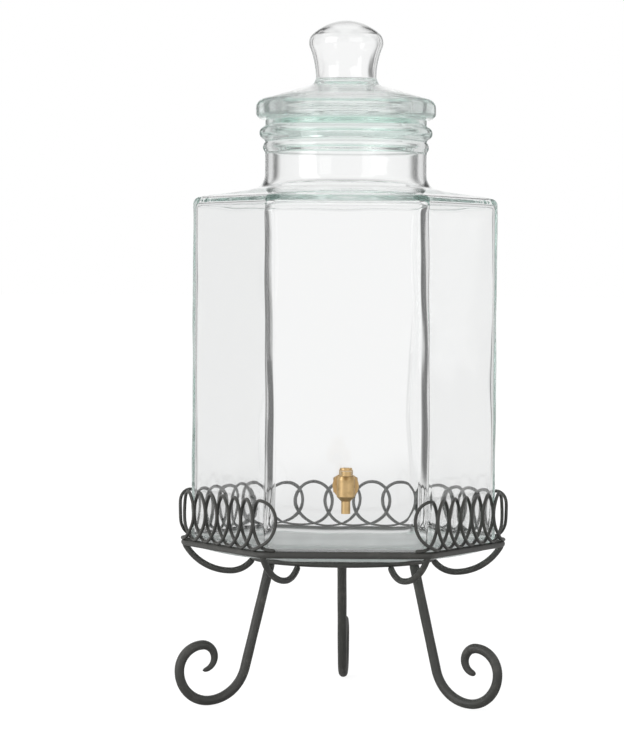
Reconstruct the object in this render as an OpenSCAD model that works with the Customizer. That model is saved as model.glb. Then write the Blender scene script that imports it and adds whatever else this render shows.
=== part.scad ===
// Glass drinks dispenser: a six-sided jar with a lid and a tap, standing in a scrolled iron stand.
// Millimetres, +Z up, floor at z = 0, jar axis on the Z axis, tap towards -Y.

/* [Jar] */
// Width of the jar across its flat faces
jar_flats = 227.2; // [200:0.1:250]
// Rounding of the jar's upright corners
jar_corner_r = 9; // [7:0.5:14]
// Rounding where the walls turn into the base
jar_heel_r = 9; // [5:0.5:14]
// Thickness of the glass walls
jar_wall = 5; // [3.5:0.1:6]
// Thickness of the glass base
jar_base_t = 9; // [6:0.5:14]
// Rise of the jar's underside outside the ring that it rests on, in degrees
base_slope = 6; // [2:0.5:7]
// Height from the base to the edge of the shoulder
jar_body_h = 303.2; // [240:0.1:360]
// Slope of the shoulder, in degrees
shoulder_slope = 13; // [8:0.5:18]
// Rounding of the shoulder's edge
shoulder_edge_r = 6; // [4:0.5:9]
// Height of the whole jar, base to rim
jar_h = 371; // [365:0.5:460]
// Outer radius of the neck
neck_r = 69; // [60:0.5:75]
// Thickness of the neck's glass
neck_wall = 6; // [4:0.5:8]
// Rounding where the neck meets the shoulder
neck_fillet = 13; // [5:0.5:14]
// How far the bead stands out of the neck
bead_out = 5; // [3:0.5:7]
// Radius of the bead's rounding
bead_r = 6; // [4:0.5:7]
// Height from the middle of the bead up to the rim
bead_below_rim = 12; // [11:0.5:18]
// Rounding of the rim's outer edge
rim_round = 2; // [1:0.25:3]

/* [Lid] */
// Outer radius of the lid's flange
lid_r = 77; // [72:0.5:84]
// Thickness of the flange where the dome starts
lid_flange_t = 17.4; // [14:0.2:20]
// Rounding of the flange's upper edge
lid_edge_r = 8; // [5:0.5:10]
// Height of the lid's dome at the foot of the knob
lid_dome_h = 28; // [24:0.5:34]
// Thickness of the dome's glass, measured upright
lid_wall = 7; // [4:0.5:8]
// Depth of the skirt that drops into the neck
skirt_depth = 11; // [6:0.5:16]
// Thickness of the skirt's glass
skirt_wall = 6; // [4:0.5:8]
// Room between the skirt and the neck
skirt_clearance = 1.5; // [0.5:0.1:4]
// Radius of the knob at its waist
knob_waist_r = 25.8; // [22:0.2:27]
// Radius of the knob at its widest
knob_r = 31.6; // [30:0.2:38]
// Rounding of the knob's head
knob_head_r = 11; // [9:0.5:13]
// Height from the rim to the knob's widest ring
knob_wide_h = 65; // [62:0.5:72]
// Rounding at the foot of the knob
knob_foot_r = 8; // [4:0.5:9]
// Radius of the dome on top of the knob
knob_crown_r = 41; // [38:0.5:60]
// Thickness of the hollow knob's glass
knob_wall = 5; // [3:0.5:6]

/* [Tap] */
// Height of the tap's axis above the jar's base
tap_h = 65.9; // [55:0.1:120]
// Radius of the flange against the glass
tap_flange_r = 10.75; // [10:0.25:14]
// Thickness of the flange
tap_flange_t = 3; // [2:0.25:5]
// Radius of the threaded tail through the glass
tail_r = 7; // [6:0.1:8]
// Room between the tail and the hole in the glass
tail_clearance = 0.5; // [0.3:0.1:1.5]
// Length of tail left standing out of the lock nut
tail_spare = 2; // [1:0.5:6]
// Thickness of each rubber gasket
gasket_t = 1.5; // [1:0.1:3]
// Thickness of the metal washer under the lock nut
washer_t = 1; // [0.6:0.1:2]
// Thickness of the lock nut
nut_t = 5; // [3:0.5:8]
// Width of the lock nut across its flats
nut_flats = 20; // [18:0.5:24]
// Distance from the flange to the axis of the valve
valve_reach = 12; // [11:0.5:20]
// Radius of the barrel between the flange and the valve
barrel_r = 5.5; // [5:0.1:5.7]
// Radius of the bore that the drink runs through
inlet_r = 3.2; // [2:0.1:4]
// Radius of the turning plug
plug_r = 5; // [4.6:0.1:5.6]
// Running clearance of the plug in the valve
plug_clearance = 0.04; // [0.02:0.01:0.1]
// Thickness of the valve's wall
valve_wall = 2.46; // [1.6:0.02:3.5]
// Height of the valve above the tap's axis
valve_top = 6; // [5.6:0.2:9]
// Depth of the valve below the tap's axis
valve_low = 8; // [7:0.2:10]
// Depth of the spout's mouth below the tap's axis
spout_drop = 21.9; // [16:0.1:40]
// Outer radius of the spout
spout_r = 3.7; // [3.4:0.1:4.4]
// Radius of the spout's bore
spout_bore_r = 2.6; // [1.6:0.1:2.8]
// Height of the bonnet that holds the plug down
bonnet_t = 2.5; // [2:0.1:5]
// Radius of the plug's stem
stem_r = 2.5; // [2.2:0.1:3]
// Thickness of the sealing rings round the plug
o_ring_t = 1.4; // [1:0.1:1.6]
// Height of the handle
handle_h = 6.7; // [6.2:0.1:10]
// Radius of the handle's hub
handle_hub_r = 5.7; // [5.2:0.1:7]
// Length of the handle, from the valve's axis to its tip
handle_len = 27; // [18:0.1:40]
// Radius of the handle's tip
handle_tip_r = 4.2; // [3:0.1:5]
// Thickness of the handle's lever
lever_t = 3.6; // [2.5:0.1:5]
// Radius of the handle screw's shank
screw_r = 1.25; // [1:0.05:1.4]
// Radius of the handle screw's head
screw_head_r = 2.4; // [2:0.1:3]

/* [Stand] */
// Height of the jar's base above the floor
seat_h = 123; // [110:0.5:180]
// Gap between the jar's base and the ring that it rests on
seat_gap = 0.3; // [0.2:0.05:1]
// Thickness of the six-sided ring round the jar
ring_rod = 6; // [5:0.2:8]
// Height of that ring above the jar's base
ring_rise = 9; // [9:0.5:14]
// Room between the ring and the jar
ring_clearance = 2.4; // [0.3:0.1:3]
// Radius of the bends at the ring's corners
ring_bend = 10; // [8:0.5:12]
// Radius of the round ring under the jar
seat_ring_r = 77; // [65:0.5:85]
// Thickness of the round ring under the jar
seat_rod = 5; // [4:0.2:6]
// Thickness of the arms between the two rings
arm_rod = 5.4; // [4:0.2:6]
// Distance from the jar's axis to the arms' lowest point
arm_low_r = 96.6; // [92:0.2:102]
// Depth of the arms' lowest point below the jar's base
arm_drop = 15.5; // [13:0.5:22]
// Room between the arms and the jar's heel
arm_clearance = 0.3; // [0.2:0.1:2]
// Thickness of the legs
leg_rod = 8.2; // [6:0.2:9]
// Lean of the legs, in degrees from upright
leg_lean = 14.6; // [10:0.2:16]
// Distance from the jar's axis to the point where each leg meets the floor
foot_r = 128; // [118:0.5:140]
// Turn of the left leg about its weld, in degrees
left_leg_twist = -5.5; // [-6:0.5:6]
// Turn of the right leg's weld round the jar's axis, in degrees
right_leg_turn = -4; // [-6:0.5:6]
// Turn of the back leg about its weld, in degrees
back_leg_twist = -3; // [-6:0.5:6]
// Depth of the flat worn on the underside of each foot
foot_flat = 0.3; // [0.1:0.1:1]
// Bend of the foot's scroll where it turns up
scroll_out_bend = 26; // [23:0.5:29]
// Bend of the scroll over its top
scroll_top_bend = 21; // [18:0.5:22.5]
// Bend of the scroll's inner curl
scroll_curl_bend = 10.7; // [9:0.1:12]
// How deep a weld lets one rod into another
weld_bite = 0.6; // [0.2:0.1:1.2]

/* [Loop gallery] */
// Thickness of the wire that is bent into loops
loop_wire = 2.8; // [2.2:0.1:3]
// Height of the loops above the middle of the ring
loop_top = 45.7; // [35:0.1:60]
// How far each loop laps over the next
loop_lap = 5.5; // [4:0.1:7]
// How far the wire swings in and out so that it can cross itself
loop_swing = 2.4; // [2.3:0.05:2.8]
// How far the loops stand outside the middle of the ring
loop_offset = 2; // [1:0.1:2.2]
// How far the loops run on round the two front corners
loop_wrap = 13; // [0:0.5:25]
// Loops on each of the two faces beside the front
loops_front = 7; // [5:1:8]
// Loops on each of the two faces beside the back
loops_rear = 6; // [5:1:8]
// Loops on the back face
loops_back = 5; // [4:1:8]
// Gap between the ends of two neighbouring runs of loops
loop_end_gap = 2; // [1:0.5:6]

/* [Hidden] */
$fn = 96;
iron = "#3b3b38";
brass = "#b88a3e";
clear_glass = [0.82, 0.91, 0.88, 0.45];
seal_rubber = "#2b2b2b";

// Overshoot of a cutting shape past the face it cuts
cut = 1;
// A straight length of rod runs this far into a bend, and is this much thinner than the bend
rod_tuck = 0.3;
rod_step = 0.3;
// Turn between neighbouring faces of the jar, and from a face to a corner
face_turn = 60;
half_turn = face_turn / 2;

// Jar: half widths, and the lines of the shoulder outside and inside
jar_a = jar_flats / 2;
jar_in_a = jar_a - jar_wall;
heel_r = jar_heel_r;
heel_in_r = max(jar_heel_r - jar_wall, 1);
// The underside is level as far as the outer edge of the ring that carries it, and then rises
base_rest_r = seat_ring_r + seat_rod;
base_rise = tan(base_slope);
// The corner rounding crosses each face at a small angle instead of touching it
corner_lift = 0.15;
corner_a = jar_a - jar_corner_r + corner_lift;
corner_side = 2 * corner_a * tan(half_turn);
edge_run = shoulder_edge_r * tan(45 - shoulder_slope / 2);
slope = tan(shoulder_slope);
shoulder_drop = jar_wall / cos(shoulder_slope);
neck_bore_r = neck_r - neck_wall;
neck_foot_h = jar_body_h + (jar_a - neck_r) * slope - jar_wall / 4;
fillet_h = jar_body_h + (jar_a - neck_r - neck_fillet) * slope;
rim_z = seat_h + jar_h;
lesser_bead_out = 0.4 * bead_out;

// Lid: the slope of its dome, and the centres of the knob's arcs
skirt_r = neck_bore_r - skirt_clearance;
dome_low_r = lid_r - lid_edge_r;
dome_high_r = knob_waist_r + knob_foot_r;
dome_slope = (lid_dome_h - lid_flange_t) / (dome_low_r - dome_high_r);
knob_waist_h = lid_dome_h + knob_foot_r;
knob_centre_r = knob_r - knob_head_r;
knob_rise = knob_wide_h - knob_waist_h;
waist_gap = knob_waist_r - knob_centre_r;
waist_bend = (knob_rise ^ 2 + waist_gap ^ 2 - knob_head_r ^ 2) / (2 * (knob_head_r - waist_gap));
waist_span = waist_bend + knob_head_r;
crown_span = knob_crown_r - knob_head_r;
crown_drop = sqrt(crown_span ^ 2 - knob_centre_r ^ 2);

// Tap: distances along its axis from the glass, and heights from its axis
tap_z = seat_h + tap_h;
flange_x = gasket_t + tap_flange_t;
valve_x = flange_x + valve_reach;
valve_r = plug_r + plug_clearance + valve_wall;
inner_gasket_x = -jar_wall - gasket_t;
washer_x = inner_gasket_x - washer_t;
nut_x = washer_x - nut_t;
tail_end_x = nut_x - tail_spare;
gasket_inset = 0.75;
gasket_r = tap_flange_r - gasket_inset;
spout_neck_h = valve_r - spout_r;
// Room round a screwed or pushed-on piece, above and below a turning piece, and at a sealing ring
fit_gap = 0.1;
lift_play = 0.2;
seal_play = 0.02;
// Valve: its floor, the plug's port, and the metal left between the port and each sealing ring
valve_floor_t = 1.4;
seat_floor = valve_low - valve_floor_t;
plug_top = valve_top - lift_play;
port_r = min(inlet_r, spout_bore_r);
port_land = 0.7;
groove_r = plug_r + plug_clearance - o_ring_t - 2 * seal_play;
groove_half_h = 0.6 * o_ring_t;
o_ring_h = port_r + o_ring_t / 2 + port_land;
// Handle: its taper, the metal under the screw's head, and the flat on the plug's stem
handle_low = valve_top + bonnet_t + lift_play;
handle_top = handle_low + handle_h;
handle_taper = 0.86;
handle_web_t = 1.2;
screw_head_t = 1.4;
screw_len = 3;
screw_hole_depth = 4;
screw_slot_w = 0.6;
screw_seat = handle_top - screw_head_t - lift_play;
stem_top = screw_seat - handle_web_t;
stem_flat = 0.75 * stem_r;

// Stand: heights and radii of the rings
ring_a = jar_a + ring_clearance + ring_rod / 2;
ring_z = seat_h + ring_rise;
ring_corner_r = (ring_a - ring_bend) / cos(half_turn) + ring_bend;
ring_straight = 2 * hundredth((ring_a - ring_bend) * tan(half_turn));
seat_ring_z = seat_h - seat_gap - seat_rod / 2;

// Arms: from the lowest point, one bend clears the jar's heel and one climbs to the round ring
arm_low_z = seat_h - arm_drop;
heel_run = jar_a / cos(half_turn) - heel_r - arm_low_r;
heel_rise = arm_drop + heel_r;
heel_room = heel_r + arm_clearance + arm_rod / 2;
arm_bend = hundredth((heel_run ^ 2 + heel_rise ^ 2 - heel_room ^ 2) / (2 * (heel_rise - heel_room)));
arm_turn = atan2(ring_z - arm_low_z - arm_bend, ring_corner_r - arm_low_r);
seat_run = arm_low_r - seat_ring_r;
seat_rise = arm_drop - seat_gap - seat_rod + weld_bite;
arm_in_bend = hundredth((seat_run ^ 2 + seat_rise ^ 2) / (2 * seat_rise));
arm_in_turn = 2 * atan(seat_rise / seat_run);

// Legs: a leaning stem welded inside the round ring, then bends that tighten into a scroll
foot_z = leg_rod / 2 - foot_flat;
leg_weld_r = seat_ring_r - (seat_rod + leg_rod / cos(leg_lean)) / 2 + weld_bite;
foot_run = (foot_r - leg_weld_r) * cos(leg_lean) - (seat_ring_z - foot_z) * sin(leg_lean);
foot_bend = hundredth(foot_run / (1 - sin(leg_lean)));
scroll = [foot_bend, scroll_out_bend, scroll_top_bend, scroll_curl_bend];
scroll_last = len(scroll) - 1;
stem_foot = scroll_centre(0) - foot_bend * [cos(leg_lean), sin(leg_lean)];
stem_way = [-sin(leg_lean), cos(leg_lean)];
stem_len = (seat_ring_z - stem_foot[1]) / cos(leg_lean);
tip_centre = scroll_centre(scroll_last) - [0, scroll_curl_bend];

// Loop gallery: the path that the loops follow, and the shape of one loop
loop_rings = 22;
loop_sides = 6;
loop_a = ring_a + loop_offset;
loop_bend = ring_bend + loop_offset;
loop_straight = 2 * (loop_a - loop_bend) * tan(half_turn);
loop_side = loop_straight + loop_bend * face_turn * PI / 180;
loop_foot = sqrt(((ring_rod + loop_wire) / 2) ^ 2 - loop_offset ^ 2) - weld_bite / 3;
loop_half_h = (loop_top - loop_wire / 2 - loop_foot) / 2;
loop_mid_z = ring_z + loop_foot + loop_half_h;
// Ends of the runs of loops, as distances along their path from the middle of the front
front_corner = loop_side / 2;
side_corner = 3 * loop_side / 2;
back_corner = 5 * loop_side / 2;
// Share of the pitch that a loop swings to each side, before its lap over the next
loop_spread = 0.75;
// Share of a third harmonic in the swing, which parts the strands where they cross low down
swing_third = 0.25;
// Steps in degrees for measuring the wire's gap to itself, and how many neighbours are left out
gap_step = 6;
gap_skip = 12;

// Centre of one bend of a leg's scroll, from the bend before it
function scroll_centre(i) = i == 0
    ? [foot_r, foot_z + scroll[0]]
    : scroll_centre(i - 1) + (scroll[i - 1] - scroll[i]) * [cos(180 + 90 * i), sin(180 + 90 * i)];
// Direction of the two ends of one bend of the scroll: the first bend is drawn back up to the stem
function scroll_from(i) = i == 0 ? 270 : 180 + 90 * i;
function scroll_to(i) = i == 0 ? 180 + leg_lean : i == scroll_last ? 360 + 90 * i : 270 + 90 * i;
// Length rounded to a hundredth of a millimetre, so that bends drawn from both sides meet
function hundredth(length) = round(100 * length) / 100;

// Outward direction on the jar's six-sided plan, at a turn from the front
function outward(turn) = [sin(turn), -cos(turn), 0];
function sideways(turn) = [cos(turn), sin(turn), 0];
// Turn of the loop path's outward direction, at a distance s along it from the middle of the front
function path_turn(s) =
    let (face = floor(s / loop_side + 0.5))
    let (local = s - face * loop_side)
    let (past = max(abs(local) - loop_straight / 2, 0))
    face * face_turn + sign(local) * past / loop_bend * 180 / PI;
// Point of the loop path at a distance s along it
function path_point(s) =
    let (face = floor(s / loop_side + 0.5))
    let (local = s - face * loop_side)
    let (run = sign(local) * min(abs(local), loop_straight / 2))
    run * sideways(face * face_turn)
        + (loop_a - loop_bend) * outward(face * face_turn)
        + loop_bend * outward(path_turn(s));
// Point of the wire at the angle t of its loop, for loops of a given pitch
function loop_reach(pitch) = loop_spread * pitch + loop_lap / 2;
function loop_point(start, pitch, t) =
    let (s = start + pitch * t / 360 - loop_reach(pitch) * sin(t))
    path_point(s)
        + loop_swing * (sin(t) + swing_third * sin(3 * t)) * outward(path_turn(s))
        + [0, 0, loop_mid_z + loop_half_h * cos(t)];
function unit(v) = v / norm(v);

// One round rod of an arc, drawn flat about the origin
module rod_arc(bend, rod, from, to) {
    rotate([0, 0, from])
        rotate_extrude(angle = to - from)
            translate([bend, 0])
                circle(d = rod);
}

// One straight round rod of the flat plane, tucked into the bend that it starts from
module rod_line(from, way, length, rod) {
    translate(from - rod_tuck * way)
        rotate([0, 90, atan2(way[1], way[0])])
            cylinder(d = rod - rod_step, h = length + rod_tuck);
}

// Stands a flat drawing of radius and height upright in the plane at a turn from the front
module upright(turn) {
    rotate([0, 0, turn - 90])
        rotate([90, 0, 0])
            children();
}

// What three crossing bars of one section have in common: a six-sided body
module six_sided() {
    bar_len = 2 * jar_flats;
    intersection() {
        rotate([90, 0, 90])
            linear_extrude(bar_len, center = true)
                children();
        rotate([90, 0, 90 - face_turn])
            linear_extrude(bar_len, center = true)
                children();
        rotate([90, 0, 90 + face_turn])
            linear_extrude(bar_len, center = true)
                children();
    }
}

// Plan that rounds the six upright corners and leaves the faces alone
module corner_plan() {
    for (turn = [0 : face_turn : 179])
        rotate(turn)
            square([corner_side, 2 * (jar_a + cut)], center = true);
    for (turn = [0 : face_turn : 359])
        rotate(turn)
            translate([corner_side, 0])
                circle(jar_corner_r);
}

// Section across two opposite faces of the jar, outside
module outer_section() {
    edge_x = jar_a - edge_run * cos(shoulder_slope);
    edge_z = jar_body_h + edge_run * sin(shoulder_slope);
    polygon([[heel_r - jar_a, 0], [jar_a - heel_r, 0], [jar_a, heel_r], [jar_a, jar_body_h - edge_run],
        [edge_x, edge_z], [0, jar_body_h + jar_a * slope], [-edge_x, edge_z],
        [-jar_a, jar_body_h - edge_run], [-jar_a, heel_r]]);
    for (side = [-1, 1]) {
        translate([side * (jar_a - heel_r), heel_r])
            circle(heel_r);
        translate([side * (jar_a - shoulder_edge_r), jar_body_h - edge_run])
            circle(shoulder_edge_r);
    }
}

// Section across two opposite faces of the room inside the jar
module inner_section() {
    wall_top = jar_body_h + jar_wall * slope - shoulder_drop;
    polygon([[heel_in_r - jar_in_a, jar_base_t], [jar_in_a - heel_in_r, jar_base_t],
        [jar_in_a, jar_base_t + heel_in_r], [jar_in_a, wall_top],
        [0, jar_body_h + jar_a * slope - shoulder_drop],
        [-jar_in_a, wall_top], [-jar_in_a, jar_base_t + heel_in_r]]);
    for (side = [-1, 1])
        translate([side * (jar_in_a - heel_in_r), jar_base_t + heel_in_r])
            circle(heel_in_r);
}

// Section of what is taken off the underside, so that it rises towards the heel
module underside_section() {
    polygon([[base_rest_r - cut / base_rise, -cut], [jar_flats, -cut],
        [jar_flats, (jar_flats - base_rest_r) * base_rise]]);
}

// Section through the neck: wall, fillet to the shoulder, bead, lesser bead and rim
module neck_section() {
    translate([neck_bore_r, neck_foot_h])
        square([neck_wall, jar_h - rim_round - neck_foot_h]);
    translate([neck_bore_r, jar_h - rim_round - cut])
        square([neck_wall - rim_round, rim_round + cut]);
    translate([neck_r - rim_round, jar_h - rim_round])
        circle(rim_round);
    translate([neck_r, fillet_h])
        difference() {
            translate([-cut, 0])
                square([neck_fillet + cut, neck_fillet]);
            translate([neck_fillet, neck_fillet])
                circle(neck_fillet);
        }
    translate([neck_r + bead_out - bead_r, jar_h - bead_below_rim])
        circle(bead_r);
    translate([neck_r + lesser_bead_out - bead_r, jar_h - bead_below_rim - 2 * bead_r])
        circle(bead_r);
}

module jar() {
    color(clear_glass)
        translate([0, 0, seat_h])
            difference() {
                union() {
                    intersection() {
                        six_sided()
                            outer_section();
                        translate([0, 0, -cut])
                            linear_extrude(jar_h)
                                corner_plan();
                    }
                    rotate_extrude()
                        neck_section();
                }
                six_sided()
                    inner_section();
                rotate_extrude()
                    underside_section();
                translate([0, 0, jar_body_h - shoulder_drop])
                    cylinder(r = neck_bore_r, h = jar_h);
                translate([0, 0, tap_h])
                    rotate([90, 0, 0])
                        cylinder(r = tail_r + tail_clearance, h = jar_a + cut);
            }
}

// Height of the dome at a distance from the axis
function dome_h(r) = lid_flange_t + (dome_low_r - r) * dome_slope;

// Section through the lid's flange and dome, above the rim
module lid_dome_section() {
    polygon([[0, 0], [lid_r, 0], [lid_r, lid_flange_t - lid_edge_r], [dome_low_r, lid_flange_t],
        [dome_high_r, lid_dome_h], [0, lid_dome_h]]);
    translate([dome_low_r, lid_flange_t - lid_edge_r])
        circle(lid_edge_r);
}

// Section through the knob's foot, which spreads into the dome
module knob_foot_section() {
    translate([0, lid_dome_h - cut])
        difference() {
            square([dome_high_r, knob_foot_r + cut]);
            translate([dome_high_r, knob_foot_r + cut])
                circle(knob_foot_r);
        }
}

// Section through the knob from a height up, drawn in by the thickness of its glass for the hollow
module knob_section(low, inset) {
    head_r = knob_head_r - inset;
    crown_r = knob_crown_r - inset;
    crown_centre_h = knob_wide_h - crown_drop;
    meet_r = knob_centre_r + head_r * (waist_bend + waist_gap) / waist_span;
    meet_h = knob_wide_h - head_r * knob_rise / waist_span;
    crown_meet_r = crown_r * knob_centre_r / crown_span;
    crown_meet_h = crown_centre_h + crown_r * crown_drop / crown_span;
    translate([0, low])
        square([knob_waist_r - inset, knob_waist_h - low]);
    translate([0, knob_waist_h])
        difference() {
            square([meet_r, meet_h - knob_waist_h]);
            translate([knob_waist_r + waist_bend, 0])
                circle(waist_bend + inset);
        }
    polygon([[0, meet_h], [meet_r, meet_h], [knob_centre_r, knob_wide_h], [crown_meet_r, crown_meet_h],
        [0, crown_meet_h]]);
    translate([knob_centre_r, knob_wide_h])
        circle(head_r);
    intersection() {
        translate([0, crown_centre_h])
            circle(crown_r);
        translate([0, crown_meet_h])
            square([crown_meet_r, crown_r]);
    }
}

module lid() {
    hollow_r = skirt_r - skirt_wall;
    hollow_edge_h = dome_h(hollow_r) - lid_wall;
    hollow_top_r = knob_waist_r - knob_wall;
    hollow_top_h = dome_h(hollow_top_r) - lid_wall;
    color(clear_glass)
        translate([0, 0, rim_z])
            rotate_extrude()
                difference() {
                    union() {
                        lid_dome_section();
                        knob_foot_section();
                        knob_section(lid_dome_h, 0);
                        translate([0, -skirt_depth])
                            square([skirt_r, skirt_depth + cut]);
                    }
                    translate([0, -skirt_depth - cut])
                        square([hollow_r, skirt_depth + hollow_edge_h + cut]);
                    polygon([[0, 0], [hollow_r, 0], [hollow_r, hollow_edge_h],
                        [hollow_top_r, hollow_top_h], [0, hollow_top_h]]);
                    knob_section(hollow_top_h - cut, knob_wall);
                }
}

// Puts a tap piece in place: drawn with x out of the glass, z up, from the tap's axis at the glass
module on_tap() {
    translate([0, -jar_a, tap_z])
        rotate([0, 0, -90])
            children();
}

// A disc or rod along the tap's axis between two distances from the glass
module along_tap(from, to, r) {
    translate([from, 0, 0])
        rotate([0, 90, 0])
            cylinder(r = r, h = to - from);
}

// An upright disc or rod on the valve's axis between two heights
module on_valve(from, to, r, top_r) {
    translate([valve_x, 0, from])
        cylinder(r1 = r, r2 = is_undef(top_r) ? r : top_r, h = to - from);
}

module tap_body() {
    plug_bore_r = plug_r + plug_clearance;
    color(brass)
        on_tap()
            difference() {
                union() {
                    along_tap(gasket_t, flange_x, tap_flange_r);
                    along_tap(tail_end_x, flange_x, tail_r);
                    along_tap(gasket_t, valve_x, barrel_r);
                    on_valve(-valve_low, valve_top, valve_r);
                    on_valve(-valve_low - spout_neck_h, -valve_low, spout_r, valve_r);
                    on_valve(-spout_drop, -valve_low, spout_r);
                }
                along_tap(tail_end_x - cut, valve_x, inlet_r);
                on_valve(-seat_floor, valve_top + cut, plug_bore_r);
                on_valve(-spout_drop - cut, -seat_floor + cut, spout_bore_r);
            }
}

// A flat ring round the tail
module tail_ring(from, to, r) {
    on_tap()
        difference() {
            along_tap(from, to, r);
            along_tap(from - cut, to + cut, tail_r + fit_gap);
        }
}

module tap_outer_gasket() {
    color(seal_rubber)
        tail_ring(0, gasket_t, gasket_r);
}

module tap_inner_gasket() {
    color(seal_rubber)
        tail_ring(inner_gasket_x, -jar_wall, gasket_r);
}

module tap_washer() {
    color(brass)
        tail_ring(washer_x, inner_gasket_x, gasket_r);
}

module tap_lock_nut() {
    color(brass)
        on_tap()
            difference() {
                translate([nut_x, 0, 0])
                    rotate([0, 90, 0])
                        cylinder(r = nut_flats / 2 / cos(half_turn), h = nut_t, $fn = 6);
                along_tap(nut_x - cut, washer_x + cut, tail_r + fit_gap);
            }
}

module tap_bonnet() {
    color(brass)
        on_tap()
            difference() {
                on_valve(valve_top, valve_top + bonnet_t, valve_r, valve_r - bonnet_t / 4);
                on_valve(valve_top - cut, valve_top + bonnet_t + cut, stem_r + plug_clearance);
            }
}

// The upper end of the plug's stem, with a flat that turns with the handle
module stem_end_shape(r, from, to) {
    intersection() {
        on_valve(from, to, r);
        translate([valve_x - 2 * stem_r, -2 * stem_r, from - cut])
            cube([2 * stem_r + stem_flat, 4 * stem_r, to - from + 2 * cut]);
    }
}

module tap_plug() {
    color(brass)
        on_tap()
            difference() {
                union() {
                    on_valve(-seat_floor, plug_top, plug_r);
                    on_valve(plug_top, handle_low, stem_r);
                    stem_end_shape(stem_r, handle_low, stem_top);
                }
                on_valve(-seat_floor - cut, port_r, port_r);
                translate([valve_x, 0, 0])
                    rotate([-90, 0, 0])
                        cylinder(r = port_r, h = plug_r + cut);
                for (h = [-o_ring_h, o_ring_h])
                    difference() {
                        on_valve(h - groove_half_h, h + groove_half_h, plug_r + cut);
                        on_valve(h - o_ring_t, h + o_ring_t, groove_r);
                    }
                on_valve(stem_top - screw_hole_depth, stem_top + cut, screw_r + fit_gap / 2);
            }
}

module tap_o_rings() {
    color(seal_rubber)
        on_tap()
            for (h = [-o_ring_h, o_ring_h])
                translate([valve_x, 0, h])
                    rotate_extrude()
                        translate([groove_r + seal_play + o_ring_t / 2, 0])
                            circle(d = o_ring_t);
}

// Plan of the lever: two circles and the straight sides that touch both
module lever_plan() {
    reach = handle_len - handle_tip_r;
    taper = asin((handle_hub_r - handle_tip_r) / reach);
    hub_touch = handle_hub_r * [sin(taper), cos(taper)];
    tip_touch = [reach, 0] + handle_tip_r * [sin(taper), cos(taper)];
    circle(handle_hub_r);
    translate([reach, 0])
        circle(handle_tip_r);
    polygon([hub_touch, tip_touch, [tip_touch[0], -tip_touch[1]], [hub_touch[0], -hub_touch[1]]]);
}

module tap_handle() {
    lever_low = (handle_low + handle_top - lever_t) / 2;
    color(brass)
        on_tap()
            difference() {
                union() {
                    on_valve(handle_low, handle_top, handle_hub_r, handle_hub_r * handle_taper);
                    translate([valve_x, 0, lever_low])
                        linear_extrude(lever_t)
                            lever_plan();
                }
                stem_end_shape(stem_r + fit_gap / 4, handle_low - cut, stem_top + fit_gap / 4);
                on_valve(stem_top, handle_top, screw_r + fit_gap);
                on_valve(screw_seat, handle_top + cut, screw_head_r + fit_gap * 2);
            }
}

module tap_handle_screw() {
    color(brass)
        on_tap()
            difference() {
                union() {
                    on_valve(stem_top - screw_len, screw_seat + screw_head_t / 2, screw_r);
                    on_valve(screw_seat, screw_seat + screw_head_t, screw_head_r);
                }
                translate([valve_x - screw_head_r - cut, -screw_slot_w / 2, screw_seat + screw_head_t / 2])
                    cube([2 * screw_head_r + 2 * cut, screw_slot_w, screw_head_t]);
            }
}

module gallery_ring() {
    ring_rod_len = ring_straight + 2 * rod_tuck;
    color(iron)
        translate([0, 0, ring_z])
            for (turn = [0 : face_turn : 359])
                rotate([0, 0, turn - 90]) {
                    translate([ring_a, 0, 0])
                        rotate([90, 0, 0])
                            cylinder(d = ring_rod - rod_step, h = ring_rod_len, center = true);
                    translate([ring_a - ring_bend, ring_straight / 2, 0])
                        rod_arc(ring_bend, ring_rod, 0, face_turn);
                }
}

module seat_ring() {
    color(iron)
        translate([0, 0, seat_ring_z])
            rotate_extrude()
                translate([seat_ring_r, 0])
                    circle(d = seat_rod);
}

module arm(turn) {
    color(iron)
        upright(turn) {
            translate([arm_low_r, arm_low_z + arm_bend])
                rod_arc(arm_bend, arm_rod, -90, arm_turn);
            translate([arm_low_r, arm_low_z + arm_in_bend])
                rod_arc(arm_in_bend, arm_rod, -90, -90 - arm_in_turn);
        }
}

// Turns a leg's plane about the line where the leg is welded to the round ring
module about_weld(turn, twist) {
    rotate([0, 0, turn - 90])
        translate([leg_weld_r, 0, 0])
            rotate([0, 0, twist])
                translate([-leg_weld_r, 0, 0])
                    rotate([90, 0, 0])
                        children();
}

module leg(turn, twist = 0) {
    color(iron)
        about_weld(turn, twist)
            difference() {
                union() {
                    rod_line(stem_foot, stem_way, stem_len, leg_rod);
                    for (i = [0 : scroll_last])
                        translate(scroll_centre(i))
                            rod_arc(scroll[i], leg_rod, scroll_from(i), scroll_to(i));
                    translate(tip_centre)
                        rotate([0, 90, 0])
                            rotate_extrude()
                                intersection() {
                                    circle(d = leg_rod);
                                    square(leg_rod);
                                }
                }
                translate([foot_r - foot_bend, -leg_rod, -leg_rod])
                    cube([2 * foot_bend, leg_rod, 2 * leg_rod]);
            }
}

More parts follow.
